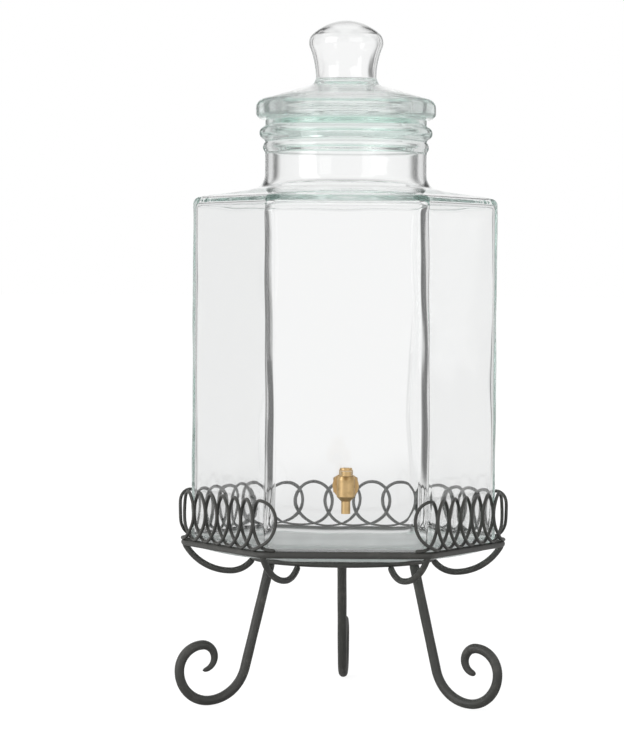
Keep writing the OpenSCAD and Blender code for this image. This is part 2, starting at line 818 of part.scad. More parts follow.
// One run of overlapping loops, bent from a single wire, between two distances along the path
module loops(from, to, count) {
    lead = loop_wire;
    pitch = (to - from - loop_end_gap - 2 * lead) / count;
    start = from + loop_end_gap / 2 + lead + pitch / 2;
    steps = count * loop_rings;
    angles = [for (i = [0 : steps]) -180 + 360 * i / loop_rings];
    wound = [for (t = angles) loop_point(start, pitch, t)];
    first = wound[0] - lead * sideways(path_turn(from + loop_end_gap / 2 + lead));
    last = wound[steps] + lead * sideways(path_turn(to - loop_end_gap / 2 - lead));
    path = concat([first], wound, [last]);
    far = len(path) - 1;
    points = [for (i = [0 : far])
        let (along = unit(path[min(i + 1, far)] - path[max(i - 1, 0)]))
        let (side = unit(cross(along, outward(atan2(path[i][0], -path[i][1])))))
        let (out = cross(side, along))
        for (k = [0 : loop_sides - 1])
            path[i] + loop_wire / 2 * (cos(k * 360 / loop_sides) * side + sin(k * 360 / loop_sides) * out)];
    skin = [for (i = [0 : far - 1], k = [0 : loop_sides - 1])
        let (a = i * loop_sides + k, b = i * loop_sides + (k + 1) % loop_sides)
        each [[a, b, a + loop_sides], [b, b + loop_sides, a + loop_sides]]];
    caps = [for (k = [1 : loop_sides - 2]) each [[0, k + 1, k],
        [far * loop_sides, far * loop_sides + k, far * loop_sides + k + 1]]];
    fine = [for (t = [0 : gap_step : 720]) loop_point(start, pitch, t)];
    end = len(fine) - 1;
    apart = [for (i = [0 : end], j = [i + gap_skip : 1 : end]) norm(fine[i] - fine[j])];
    echo(str("run of ", count, " loops: least gap of the wire to itself ", min(apart) - loop_wire));
    color(iron)
        polyhedron(points, concat(skin, caps), convexity = 10);
}

module loops_front_right() {
    loops(front_corner - loop_wrap, side_corner, loops_front);
}

module loops_back_right() {
    loops(side_corner, back_corner, loops_rear);
}

// The run on the back face stops short of the left corner, where both wires swing inwards
module loops_back_face() {
    loops(back_corner, back_corner + loop_side - loop_wire, loops_back);
}

module loops_back_left() {
    mirror([1, 0, 0])
        loops_back_right();
}

module loops_front_left() {
    mirror([1, 0, 0])
        loops_front_right();
}

lid();
jar();
tap_body();
tap_outer_gasket();
tap_inner_gasket();
tap_washer();
tap_lock_nut();
tap_bonnet();
tap_plug();
tap_o_rings();
tap_handle();
tap_handle_screw();
gallery_ring();
seat_ring();
arm(-30);  // arm_front_left
arm(30);  // arm_front_right
arm(-90);  // arm_left
arm(90);  // arm_right
arm(-150);  // arm_back_left
arm(150);  // arm_back_right
leg(-60, left_leg_twist);  // leg_left
leg(60 + right_leg_turn);  // leg_right
leg(180, back_leg_twist);  // leg_back
loops_front_left();
loops_back_left();
loops_back_face();
loops_back_right();
loops_front_right();
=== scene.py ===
# %% [markdown]
# # A six-sided glass drinks dispenser
# The CAD model gives the frame: a glass jar and lid, a small brass tap, and an iron stand.
# Here each piece gets the surface of the real one. Glass and iron rods are worked out again with
# numpy, because light through glass shows every facet, and a forged rod is never quite even.

import bpy
import numpy as np
from mathutils import Matrix


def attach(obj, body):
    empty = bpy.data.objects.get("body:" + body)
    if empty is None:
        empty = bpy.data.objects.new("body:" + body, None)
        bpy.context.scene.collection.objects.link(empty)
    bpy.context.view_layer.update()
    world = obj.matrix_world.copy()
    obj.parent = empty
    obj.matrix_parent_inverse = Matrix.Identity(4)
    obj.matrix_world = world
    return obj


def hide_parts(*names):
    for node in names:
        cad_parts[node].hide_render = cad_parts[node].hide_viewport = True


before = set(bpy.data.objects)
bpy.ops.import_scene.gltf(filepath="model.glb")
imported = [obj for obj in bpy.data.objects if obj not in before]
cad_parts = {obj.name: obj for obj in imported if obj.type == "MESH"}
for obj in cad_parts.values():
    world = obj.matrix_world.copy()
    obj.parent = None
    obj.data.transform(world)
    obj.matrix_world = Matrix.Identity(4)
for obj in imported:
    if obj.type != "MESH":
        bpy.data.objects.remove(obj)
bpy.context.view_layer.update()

# %% [markdown]
# ## The camera
# The photograph was taken from straight in front, from about two and a half metres, a little above
# the middle of the jar and a few centimetres to the left. A long lens gives that flat look. The
# picture leans by a fraction of a degree, so the camera is rolled by as much, and it is turned a
# little for the framing.

# %% Camera
CAMERA_LEFT, CAMERA_AWAY, CAMERA_HEIGHT = 0.038, 2.561, 0.357
LENS_PX = 2994
PICTURE_PX = 750
TURN_RIGHT, TURN_DOWN, ROLL = np.radians([0.232, 1.82, 0.38])

lens = bpy.data.cameras.new("camera")
lens.sensor_width = 36
lens.lens = 36 * LENS_PX / PICTURE_PX
camera = bpy.data.objects.new("camera", lens)
bpy.context.scene.collection.objects.link(camera)
camera.matrix_world = (
    Matrix.Translation((-CAMERA_LEFT, -CAMERA_AWAY, CAMERA_HEIGHT))
    @ Matrix.Rotation(-TURN_RIGHT, 4, "Z")
    @ Matrix.Rotation(np.pi / 2 - TURN_DOWN, 4, "X")
    @ Matrix.Rotation(ROLL, 4, "Z")
)
bpy.context.scene.camera = camera
bpy.context.scene.view_settings.view_transform = "Standard"
print("lens:", round(lens.lens, 1), "mm")

# %% [markdown]
# ## Shader sums as Python sums
# A material is a tree of nodes, and long trees are hard to read. This small class holds one output
# of a node. Adding or multiplying it adds the Math node for that step, and its node method makes
# any other kind of node, so a finish reads like a formula.


# %% A socket that can be added and multiplied
class Socket:
    """One output of a shader node, or an empty start for a tree. Operators on it add Math nodes."""

    def __init__(self, tree, output=None):
        self.tree, self.output = tree, output

    def node(self, kind, settings=None, inputs=None, output=0):
        """Adds a node of any kind: sets its settings, then its sockets, and gives one output."""
        made = self.tree.nodes.new(kind)
        for key, value in (settings or {}).items():
            setattr(made, key, value)
        for key, value in (inputs or {}).items():
            if isinstance(value, Socket):
                self.tree.links.new(value.output, made.inputs[key])
            else:
                made.inputs[key].default_value = value
        return Socket(self.tree, made.outputs[output] if made.outputs else None)

    def math(self, operation, first, second=0.0):
        """One Math node: the operation on two sockets or numbers."""
        return self.node("ShaderNodeMath", {"operation": operation}, {0: first, 1: second})

    def __add__(self, other):
        return self.math("ADD", self, other)

    def __sub__(self, other):
        return self.math("SUBTRACT", self, other)

    def __rsub__(self, other):
        return self.math("SUBTRACT", other, self)

    def __mul__(self, other):
        return self.math("MULTIPLY", self, other)

    __radd__ = __add__
    __rmul__ = __mul__

    def most(self, other):
        """The larger of the two values."""
        return self.math("MAXIMUM", self, other)

    def step(self, low, high):
        """0 below low, 1 above high and a smooth ramp between."""
        return self.node(
            "ShaderNodeMapRange",
            {"interpolation_type": "SMOOTHSTEP"},
            {"Value": self, "From Min": low, "From Max": high},
        )


def new_material(name):
    """An empty material and the start of its tree."""
    made = bpy.data.materials.new(name)
    made.use_nodes = True
    made.node_tree.nodes.clear()
    return made, Socket(made.node_tree)


def noise(paint, scale, detail=3.0, rough=0.55, stretch=(1, 1, 1)):
    """A noise value from 0 to 1 on Object coordinates, with scale in waves per metre."""
    place = paint.node("ShaderNodeTexCoord", output="Object")
    place = paint.node("ShaderNodeMapping", inputs={"Vector": place, "Scale": stretch})
    return paint.node(
        "ShaderNodeTexNoise",
        inputs={"Vector": place, "Scale": scale, "Detail": detail, "Roughness": rough},
    )


def mix_colours(paint, share, first, second):
    """The first colour where share is 0 and the second where it is 1."""
    return paint.node(
        "ShaderNodeMix",
        {"data_type": "RGBA"},
        {0: share, 6: first, 7: second},
        output=2,
    )


print("shader helper ready")

# %% [markdown]
# ## Glass
# Old glass melted again keeps a green cast, which shows most where light travels a long way through
# it. So the colour is in the volume, where an absorption shader takes out red light with distance.
# The top of the neck and the lid's skirt and flange underside, where the glass is gathered thick and
# lies in the shade under the lid's flange, get a darker green on the surface too: partly the glass's
# own colour, partly painted shade. Ramps on the height pick them out. Through the lid's flange a share
# of the light goes straight, which keeps that thick ring from turning murky. A faint noise bends the
# surface as it is bent on hand-made glass. The underside is ground flat, so it is rough. Lamps shine
# through the glass, so the shadow stays light.


# %% Glass
GROUND_LOW, GROUND_HIGH = 0.1335, 0.1375
POLISHED, GROUND = 0.02, 0.38
FLANGE_LOW, FLANGE_HIGH, FLANGE_SHARE = (0.4945, 0.498), (0.508, 0.513), 0.2
CLEAR = (1, 1, 1, 1)
GREEN, GREEN_DENSITY = (0.61, 0.75, 0.71, 1), 4.5


def glass(name, ripple, thick, low, high):
    """Clear glass that turns to the colour called thick between two heights, in metres. That colour is
    a darker green: partly thick glass, partly painted shade under the lid's flange.
    """
    material, paint = new_material(name)
    place = paint.node("ShaderNodeTexCoord", output="Object")
    height = paint.node("ShaderNodeSeparateXYZ", inputs={0: place}, output=2)
    ground = 1 - height.step(GROUND_LOW, GROUND_HIGH)
    colour = mix_colours(paint, height.step(low, high), CLEAR, thick)
    waves = noise(paint, 38, 2, 0.5, (1, 1, 0.45)) + 0.35 * noise(paint, 140, 2)
    bump = paint.node(
        "ShaderNodeBump", inputs={"Height": waves, "Strength": 1.0, "Distance": ripple}
    )
    clear = paint.node(
        "ShaderNodeBsdfPrincipled",
        inputs={
            "Base Color": colour,
            "Roughness": POLISHED + GROUND * ground,
            "IOR": 1.5,
            "Transmission Weight": 1.0,
            "Normal": bump,
        },
    )
    through = paint.node("ShaderNodeBsdfTransparent", inputs={"Color": (0.93, 0.96, 0.95, 1)})
    lamp = paint.node("ShaderNodeLightPath", output="Is Shadow Ray")
    flange = height.step(*FLANGE_LOW) - height.step(*FLANGE_HIGH)
    share = lamp.most(FLANGE_SHARE * flange)
    surface = paint.node("ShaderNodeMixShader", inputs={0: share, 1: clear, 2: through})
    depth = paint.node(
        "ShaderNodeVolumeAbsorption", inputs={"Color": GREEN, "Density": GREEN_DENSITY}
    )
    paint.node("ShaderNodeOutputMaterial", inputs={"Surface": surface, "Volume": depth})
    return material


# The darker green near the top is partly thick glass and partly painted shade under the lid's flange.
jar_glass = glass("jar_glass", 0.000015, (0.92, 0.975, 0.955, 1), 0.464, 0.480)
lid_glass = glass("lid_glass", 0.00003, (0.82, 0.93, 0.89, 1), 0.4995, 0.4945)
print("glass:", jar_glass.name, lid_glass.name)

# %% [markdown]
# ## Iron, brass and rubber
# The stand is forged iron under dark matte paint. A coarse noise gives the marks of the hammer, a
# fine one the grain of the paint, and here and there the paint is worn to a greyer brown. The tap
# is satin brass with faint brushing and a little tarnish. The gaskets are plain dull rubber. Painted
# textures could do this too, but they need unwrapping, and noise on Object coordinates doesn't. The
# tap's pieces keep their CAD shapes and only get these finishes.


# %% Iron, brass and rubber
PAINT, WORN_PAINT = (0.042, 0.042, 0.038, 1), (0.085, 0.082, 0.072, 1)
BRIGHT_BRASS, DULL_BRASS = (0.67, 0.47, 0.235, 1), (0.48, 0.33, 0.15, 1)
RUBBER, PALE_RUBBER = (0.018, 0.018, 0.018, 1), (0.035, 0.035, 0.034, 1)


def painted_iron():
    """Dark paint, greyer where a slow noise is high, over dents of a coarse and a fine noise."""
    material, paint = new_material("stand_iron")
    hammer = noise(paint, 170, 2)
    grain = noise(paint, 1600, 3)
    worn = noise(paint, 60, 5, 0.65).step(0.52, 0.74)
    colour = mix_colours(paint, worn * 0.7, PAINT, WORN_PAINT)
    dents = hammer + 0.12 * grain
    bump = paint.node(
        "ShaderNodeBump", inputs={"Height": dents, "Strength": 0.6, "Distance": 0.0006}
    )
    surface = paint.node(
        "ShaderNodeBsdfPrincipled",
        inputs={
            "Base Color": colour,
            "Roughness": 0.36 + 0.2 * grain,
            "Metallic": 0.0,
            "Normal": bump,
        },
    )
    paint.node("ShaderNodeOutputMaterial", inputs={"Surface": surface})
    return material


def satin_brass():
    """Brass between bright and dull by a slow noise, with a fine noise stretched into brush lines."""
    material, paint = new_material("tap_brass")
    brush = noise(paint, 900, 2, 0.5, (1, 1, 6))
    tarnish = noise(paint, 120, 4, 0.6).step(0.45, 0.75)
    colour = mix_colours(paint, tarnish, BRIGHT_BRASS, DULL_BRASS)
    bump = paint.node(
        "ShaderNodeBump", inputs={"Height": brush, "Strength": 0.3, "Distance": 0.0001}
    )
    surface = paint.node(
        "ShaderNodeBsdfPrincipled",
        inputs={
            "Base Color": colour,
            "Metallic": 1.0,
            "Roughness": 0.32 + 0.12 * brush + 0.12 * tarnish,
            "Normal": bump,
        },
    )
    paint.node("ShaderNodeOutputMaterial", inputs={"Surface": surface})
    return material


def dull_rubber():
    """Nearly black rubber, paler and rougher where a fine noise is high."""
    material, paint = new_material("tap_rubber")
    grain = noise(paint, 1200, 3)
    colour = mix_colours(paint, grain, RUBBER, PALE_RUBBER)
    surface = paint.node(
        "ShaderNodeBsdfPrincipled", inputs={"Base Color": colour, "Roughness": 0.7 + 0.2 * grain}
    )
    paint.node("ShaderNodeOutputMaterial", inputs={"Surface": surface})
    return material


iron, brass, rubber = painted_iron(), satin_brass(), dull_rubber()
for name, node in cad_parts.items():
    finish = rubber if "gasket" in name or "o_rings" in name else brass if "tap" in name else iron
    node.data.materials.clear()
    node.data.materials.append(finish)
print("finishes:", iron.name, brass.name, rubber.name)

# %% [markdown]
# ## From rings of points to a mesh
# Every new piece is a list of rings. Neighbouring rings are joined by four-sided faces, and a ring
# at each end is closed by a fan of triangles round one point, the pole. The signed volume tells
# whether the faces look outwards; if it is negative, they are turned round.

# %% Rings to a mesh
MM = 0.001


def put_piece(name, rings, body, material, poles=None):
    """Makes a mesh from rings of points in mm. With no poles, the last ring joins the first."""
    rows, cols = rings.shape[:2]
    points = rings.reshape(-1, 3)
    i = np.arange(rows - 1 if poles else rows)[:, None]
    j = np.arange(cols)[None, :]
    up, on = (i + 1) % rows, (j + 1) % cols
    quads = np.stack([i * cols + j, i * cols + on, up * cols + on, up * cols + j], -1)
    quads = quads.reshape(-1, 4)
    fans = np.zeros((0, 3), int)
    if poles:
        low, high = rows * cols, rows * cols + 1
        j, on = j[0], on[0]
        last = (rows - 1) * cols
        fans = np.concatenate([
            np.stack([on, j, np.full(cols, low)], -1),
            np.stack([last + j, last + on, np.full(cols, high)], -1),
        ])
        points = np.concatenate([points, np.array(poles, float)])
    tris = np.concatenate([quads[:, :3], quads[:, [0, 2, 3]], fans])
    a, b, c = (points[tris[:, k]] for k in range(3))
    volume = np.einsum("ij,ij->i", a, np.cross(b, c)).sum() / 6
    if volume < 0:
        quads, fans = quads[:, ::-1], fans[:, ::-1]
    mesh = bpy.data.meshes.new(name)
    mesh.from_pydata((points * MM).tolist(), [], quads.tolist() + fans.tolist())
    mesh.polygons.foreach_set("use_smooth", np.ones(len(mesh.polygons), bool))
    mesh.materials.append(material)
    piece = bpy.data.objects.new(name, mesh)
    bpy.context.scene.collection.objects.link(piece)
    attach(piece, body)
    print(name, len(tris), "triangles,", round(abs(volume) / 1000, 1), "cm3")
    return piece


def arc(x, z, radius, start, end, count):
    """Points on a circle about (x, z), from one angle to another in degrees."""
    t = np.radians(np.linspace(start, end, count))
    return np.stack([x + radius * np.cos(t), z + radius * np.sin(t)], -1)


def run(first, last, count):
    """Evenly spaced points on a straight line."""
    return np.linspace(first, last, count)


# %% [markdown]
# ## The jar
# The jar is blown into a six-sided mould, then its neck is drawn in round. A lathe can't turn that,
# but one formula covers both: a hexagon with rounded corners, whose rounding grows over the
# shoulder until the hexagon is a circle. The columns of points lie close together at the corners,
# because the corners bend the light most.

# %% Plan of the jar
SEAT, RIM = 123.0, 494.0
JAR_A, CORNER, IN_CORNER, WALL, BASE = 113.6, 8.0, 7.5, 5.0, 9.0
REST_R, RISE = 82.0, np.tan(np.radians(6))
HEEL_IN = 6.0
BODY, SLOPE = 303.2, np.radians(13)
NECK, BORE, FILLET = 69.0, 63.0, 13.0
FACE_COLS, CORNER_COLS = 18, 10
SECTOR = np.pi / 3


def six_sided(turn, across, corner):
    """Distance from the axis to a rounded hexagon, at a turn from the middle of a face: the half
    width over the cosine on the face, and the far crossing with the corner's circle past its start."""
    t = np.abs((turn + SECTOR / 2) % SECTOR - SECTOR / 2)
    core = across - corner
    centre = core / np.cos(SECTOR / 2)
    face_end = np.arctan2(core * np.tan(SECTOR / 2), across)
    off = SECTOR / 2 - t
    rest = np.sqrt(np.maximum(corner**2 - (centre * np.sin(off)) ** 2, 0))
    return np.where(t <= face_end, across / np.cos(t), centre * np.cos(off) + rest)


face_end = np.arctan2((JAR_A - CORNER) * np.tan(SECTOR / 2), JAR_A)
on_face = np.arctan(np.tan(face_end) * np.linspace(-1, 1, FACE_COLS + 1))[:-1]
on_corner = np.linspace(face_end, SECTOR - face_end, CORNER_COLS + 1)[:-1]
packed = np.concatenate([on_face, on_corner])
even = (np.arange(len(packed)) - FACE_COLS / 2) * SECTOR / len(packed)
faces = np.arange(6)[:, None] * SECTOR
packed, even = (faces + packed).ravel(), (faces + even).ravel()
print("columns round the jar:", len(packed))

# %% [markdown]
# ### The jar's profile
# The profile runs from the middle of the base, up outside, over the rim and down inside, so the
# walls have their real thickness. It could be drawn as a curve, but a list of straight runs and arcs
# keeps every size in view. Outside the ring that carries the jar, the underside rises a little.

# %% Profile of the jar
EDGE, RIM_H = 6.0, 371.0
BEAD_H, BEAD_OUT, LESSER_OUT, BEAD_R = 359.0, 5.0, 2.0, 6.0
edge_run = EDGE * np.tan(np.pi / 4 - SLOPE / 2)


def shoulder(r):
    """Height of the shoulder's slope at a distance from the axis."""
    return BODY + (JAR_A - r) * np.tan(SLOPE)


fillet_z = shoulder(NECK + FILLET) + FILLET / np.cos(SLOPE)


def bulge(z, middle, out):
    """A slice of a circle that stands out of the neck, and nothing above and below it."""
    away = np.abs(z - middle)
    return NECK + out - BEAD_R + np.sqrt(np.maximum(BEAD_R**2 - away**2, 0)) * (away < BEAD_R)


def neck_width(z):
    """Radius of the neck: plain, with two beads that are slices of circles, smoothed where they
    meet by a running mean of seven points."""
    beads = np.maximum(bulge(z, BEAD_H, BEAD_OUT), bulge(z, BEAD_H - 2 * BEAD_R, LESSER_OUT))
    return np.convolve(np.pad(np.maximum(beads, NECK), 3, "edge"), np.ones(7) / 7, "valid")


neck_z = np.arange(fillet_z + 0.5, RIM_H - 2, 0.4)
slope_ends = np.array([JAR_A - 8, NECK + FILLET - 1])
inner_ends = np.array([JAR_A - 30, JAR_A - 14])
heel_z = (JAR_A - HEEL_IN - REST_R) * RISE + HEEL_IN / np.cos(np.arctan(RISE))
outside = np.concatenate([
    run((4, 0), (REST_R - 1, 0), 10),
    run((REST_R + 1, RISE), (JAR_A - HEEL_IN - 2, (JAR_A - HEEL_IN - 2 - REST_R) * RISE), 6),
    arc(JAR_A - HEEL_IN, heel_z, HEEL_IN, -84, 0, 9),
    run((JAR_A, 16), (JAR_A, BODY - edge_run - 4), 56),
    arc(JAR_A - EDGE, BODY - edge_run, EDGE, 0, 90 - np.degrees(SLOPE), 8),
    run(*np.stack([slope_ends, shoulder(slope_ends)], -1), 14),
    arc(NECK + FILLET, fillet_z, FILLET, 270 - np.degrees(SLOPE), 180, 12),
    np.stack([neck_width(neck_z), neck_z], -1),
    arc(NECK - 2, RIM_H - 2, 2, 10, 90, 6),
    arc(BORE + 2, RIM_H - 2, 2, 90, 180, 6),
])
inside = np.concatenate([
    run((BORE, RIM_H - 5), (BORE, fillet_z + 2), 12),
    arc(NECK + FILLET, fillet_z, FILLET + NECK - BORE, 180, 270 - np.degrees(SLOPE), 14),
    run(*np.stack([inner_ends, shoulder(inner_ends) - np.array([5.7, 5.3])], -1), 7),
    arc(JAR_A - WALL - 5, BODY - 8.4, 5, 75, 0, 6),
    run((JAR_A - WALL, BODY - 14), (JAR_A - WALL, 22), 56),
    arc(JAR_A - WALL - 9, BASE + 9, 9, 0, -85, 9),
    run((JAR_A - 20, BASE - 0.2), (4, BASE + 1.4), 18),
])
profile = np.concatenate([outside, inside])
across, height = profile[:, 0], profile[:, 1]
print("rows of the jar:", len(profile))

# %% [markdown]
# ### The jar's surface
# Each row of the profile becomes a ring with its own corner rounding. Slow waves in the walls, and
# corners that wander and sway a little, give the uneven look of glass from a hand-worked mould. A
# displacement could do that, but in the formula the waves follow the faces and corners.

# %% Jar
WALL_WAVE, CORNER_WAVE, CORNER_REACH = 0.05, 0.2, 0.09
SWAY_INSIDE, SWAY_OUTSIDE = 0.006, 0.004
is_inside = np.arange(len(profile)) >= len(outside)
body_corner = np.where(is_inside, IN_CORNER, CORNER)
to_neck = np.clip((JAR_A - 6 - across) / (JAR_A - 6 - NECK - FILLET), 0, 1) * (height > BODY - 12)
to_middle = np.clip((100 - across) / 80, 0, 1) * (height < 20)
round_share = np.maximum(to_neck, to_middle)
round_share = round_share**2 * (3 - 2 * round_share)
corner = body_corner + (across - body_corner) * round_share
turn = packed + (even - packed) * round_share[:, None]
radius = six_sided(turn, across[:, None], np.minimum(corner, across)[:, None])
z = height[:, None]
upright = (z > 14) * (z < BODY - 10)
phase = np.where(is_inside, 1.9, 0.0)[:, None]
off_corner = np.abs(turn % SECTOR - SECTOR / 2)
at_corner = np.exp(-((off_corner / CORNER_REACH) ** 2))
slow = (
    np.sin(7 * turn + 0.021 * z + phase)
    + 0.7 * np.sin(13 * turn - 0.05 * z + 2 * phase)
    + 0.5 * np.sin(5 * turn + 0.12 * z + 3 * phase)
)
wander = np.sin(0.045 * z + 5 * turn + phase) + 0.6 * np.sin(0.11 * z + 9 * turn)
radius = radius + upright * (WALL_WAVE * slow + CORNER_WAVE * at_corner * wander)
sway = 0.6 + 1.6 * np.cos(0.017 * (z - 110)) + 0.3 * np.sin(0.09 * z + 7 * turn)
in_front = np.clip(0.5 + np.cos(turn), 0, 1)
how_far = np.where(is_inside, SWAY_INSIDE, SWAY_OUTSIDE)[:, None]
turn = turn + upright * at_corner * in_front * sway * how_far
in_heel = np.clip((heel_z - height) / HEEL_IN, 0, 1) * ~is_inside * (across > REST_R)
lift = in_heel[:, None] * (radius - across[:, None]) * RISE
rings = np.stack([radius * np.sin(turn), -radius * np.cos(turn), SEAT + z + lift], -1)
jar = put_piece(
    "jar_glass_body", rings, "jar", jar_glass,
    poles=[(0, 0, SEAT), (0, 0, SEAT + BASE + 1.45)],
)
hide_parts("jar")

# %% [markdown]
# ### The hole for the tap
# The tap's tail goes through a drilled hole. A Boolean modifier takes a short rod out of the wall,
# and its result is put back into the mesh, so nothing is left to work out later. Edges sharper than
# forty degrees stay crisp, which are only the hole's own.

# %% Hole for the tap
TAP_Z, HOLE = 188.9, 7.5
turn_round = np.linspace(0, 2 * np.pi, 64, endpoint=False)
drill_y = np.array([-JAR_A - 6, -JAR_A + 12])
drill_rings = np.stack([
    HOLE * np.cos(turn_round) + 0 * drill_y[:, None],
    0 * turn_round + drill_y[:, None],
    TAP_Z + HOLE * np.sin(turn_round) + 0 * drill_y[:, None],
], -1)
drill = put_piece(
    "drill", drill_rings, "jar", jar_glass,
    poles=[(0, drill_y[0], TAP_Z), (0, drill_y[1], TAP_Z)],
)
cut = jar.modifiers.new("hole", "BOOLEAN")
cut.object, cut.operation, cut.solver = drill, "DIFFERENCE", "EXACT"
cut_mesh = bpy.data.meshes.new_from_object(jar.evaluated_get(bpy.context.evaluated_depsgraph_get()))
jar.modifiers.remove(cut)
jar.data = cut_mesh
bpy.data.objects.remove(drill)
jar.data.polygons.foreach_set("use_smooth", np.ones(len(jar.data.polygons), bool))
jar.data.set_sharp_from_angle(angle=np.radians(40))
print("jar with its hole:", len(jar.data.polygons), "faces")

# %% [markdown]
# ## The lid
# The lid is one piece of blown glass with a thick flange that rests on the rim, a skirt that drops
# into the neck, a low dome and a large hollow knob. It is round, so it could be turned on a lathe
# with a Screw modifier, but a numpy surface lets the knob keep the soft flats that the tool left in
# it. A crease runs round the dome where it meets the flange.

# %% Lid
SKIRT, HOLLOW, FLANGE, LOWER_EDGE, UPPER_EDGE = 61.5, 55.5, 77.0, 5.0, 8.0
DOME_LOW, DOME_HIGH = np.array([69.0, 17.4]), np.array([33.8, 28.0])
WAIST_R, WAIST_H, HEAD_R, HEAD_X, HEAD_H = 25.8, 36.0, 11.0, 20.6, 65.0
CROWN_R, KNOB_WALL = 41.0, 2.6
rise, gap = HEAD_H - WAIST_H, WAIST_R - HEAD_X
waist_bend = (rise**2 + gap**2 - HEAD_R**2) / (2 * (HEAD_R - gap))
meet = np.degrees(np.arctan2(rise, gap + waist_bend))
crown_drop = np.sqrt((CROWN_R - HEAD_R) ** 2 - HEAD_X**2)
crown_z = HEAD_H - crown_drop
crown_at = np.degrees(np.arctan2(crown_drop, HEAD_X))
lid_outside = np.concatenate([
    arc(HOLLOW + 2, -9, 2, 200, 270, 5),
    arc(SKIRT - 2, -9, 2, 270, 350, 5),
    run((SKIRT, -8), (SKIRT, -1.5), 4),
    arc(SKIRT + 1.5, -1.5, 1.5, 170, 90, 4),
    run((SKIRT + 2.5, 0), (FLANGE - LOWER_EDGE - 0.5, 0), 5),
    arc(FLANGE - LOWER_EDGE, LOWER_EDGE, LOWER_EDGE, -80, 0, 9),
    run((FLANGE, LOWER_EDGE + 0.8), (FLANGE, DOME_LOW[1] - UPPER_EDGE - 0.8), 4),
    arc(DOME_LOW[0], DOME_LOW[1] - UPPER_EDGE, UPPER_EDGE, 0, 100, 15),
    run(DOME_LOW + 0.07 * (DOME_HIGH - DOME_LOW), DOME_HIGH - 0.02 * (DOME_HIGH - DOME_LOW), 14),
    arc(DOME_HIGH[0], WAIST_H, 8, 252, 180, 10),
])
knob_outside = np.concatenate([
    arc(WAIST_R + waist_bend, WAIST_H, waist_bend, 180, 180 - meet, 16)[1:],
    arc(HEAD_X, HEAD_H, HEAD_R, -meet, crown_at, 18)[1:],
    arc(0, crown_z, CROWN_R, crown_at, 88, 16)[1:],
])
lid_inside = np.concatenate([
    arc(0, crown_z, CROWN_R - KNOB_WALL, 88, crown_at, 14),
    arc(HEAD_X, HEAD_H, HEAD_R - KNOB_WALL, crown_at, -meet, 14)[1:],
    arc(WAIST_R + waist_bend, WAIST_H, waist_bend + KNOB_WALL, 180 - meet, 180, 14)[1:],
    run((WAIST_R - KNOB_WALL, 33), (WAIST_R - KNOB_WALL, 29.5), 3),
    arc(WAIST_R - KNOB_WALL + 5, 28.5, 5, 190, 250, 6),
    run((27, 23.0), (HOLLOW - 2.5, 15.3), 10),
    arc(HOLLOW - 1.5, 13.3, 1.5, 70, 0, 5),
    run((HOLLOW, 11), (HOLLOW, -7), 6),
])
lid_pole, knob_top = crown_z + CROWN_R - KNOB_WALL, crown_z + CROWN_R
lid_profile = np.concatenate([lid_inside, lid_outside, knob_outside])
lid_r, lid_z = lid_profile[:, :1], lid_profile[:, 1:]
lid_turn = np.linspace(0, 2 * np.pi, 144, endpoint=False)[None, :]
on_knob = np.clip((lid_z - 30) / 14, 0, 1) * np.clip((80 - lid_z) / 10, 0, 1)
flats = (
    0.010 * np.cos(9 * lid_turn + 0.4)
    + 0.012 * np.cos(5 * lid_turn + 1.0)
    + 0.006 * np.cos(2 * lid_turn)
)
uneven = (
    0.0016 * np.cos(6 * lid_turn + 0.05 * lid_z)
    + 0.0012 * np.cos(11 * lid_turn - 0.08 * lid_z)
)
lid_radius = lid_r * (1 + on_knob * flats + uneven)
lid_rings = np.stack(
    [lid_radius * np.sin(lid_turn), -lid_radius * np.cos(lid_turn), RIM + lid_z + 0 * lid_turn], -1
)
lid = put_piece(
    "lid_glass_piece", lid_rings, "lid", lid_glass,
    poles=[(0, 0, RIM + lid_pole), (0, 0, RIM + knob_top)],
)
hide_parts("lid")

# %% [markdown]
# ## Rods and wires
# Everything in the stand is round rod, bent cold or at the forge. A rod is a circle carried along a
# path: at each point the circle stands across the path's direction. Hammering leaves the thickness
# slightly uneven, so the radius follows a slow wave, and it shrinks to nothing at a rounded end.


# %% Rod along a path
DENT = 37.0


def rod(name, path, thick, across_way, replaced, closed=False, sides=16, tip=None, wave=0.012):
    """A circle carried along a path in mm. Each circle lies in the plane of two directions: the
    path crossed with a given sideways direction, and that one crossed with the path. The radius is
    half the thickness times one plus a small sine of the distance along the path."""
    step = np.roll(path, -1, 0) - np.roll(path, 1, 0) if closed else np.gradient(path, axis=0)
    along = step / np.linalg.norm(step, axis=1, keepdims=True)
    side = np.cross(along, np.broadcast_to(across_way, path.shape))
    side /= np.linalg.norm(side, axis=1, keepdims=True)
    out = np.cross(side, along)
    reach = np.concatenate([[0], np.cumsum(np.linalg.norm(np.diff(path, axis=0), axis=1))])
    if closed:
        round_trip = reach[-1] + np.linalg.norm(path[0] - path[-1])
        turns = 2 * np.pi * np.round(reach[-1] / DENT) / round_trip
    else:
        turns = 2 * np.pi / DENT
    half = thick / 2 * (1 + wave * np.sin(turns * reach))
    if not closed:
        blunt = np.minimum(reach, reach[-1] - reach) / (thick / 2)
        half = half * np.sqrt(np.clip(1 - (1 - np.clip(blunt, 0, 1)) ** 2, 0.02, 1))
    if tip:
        half = half * (1 - (1 - tip[1]) * np.clip(1 - (reach[-1] - reach) / tip[0], 0, 1))
    angle = np.linspace(0, 2 * np.pi, sides, endpoint=False)[None, :, None]
    rings = path[:, None] + half[:, None, None] * (
        np.cos(angle) * side[:, None] + np.sin(angle) * out[:, None]
    )
    poles = None if closed else [path[0], path[-1]]
    piece = put_piece(name, rings, "stand", iron, poles)
    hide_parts(replaced)


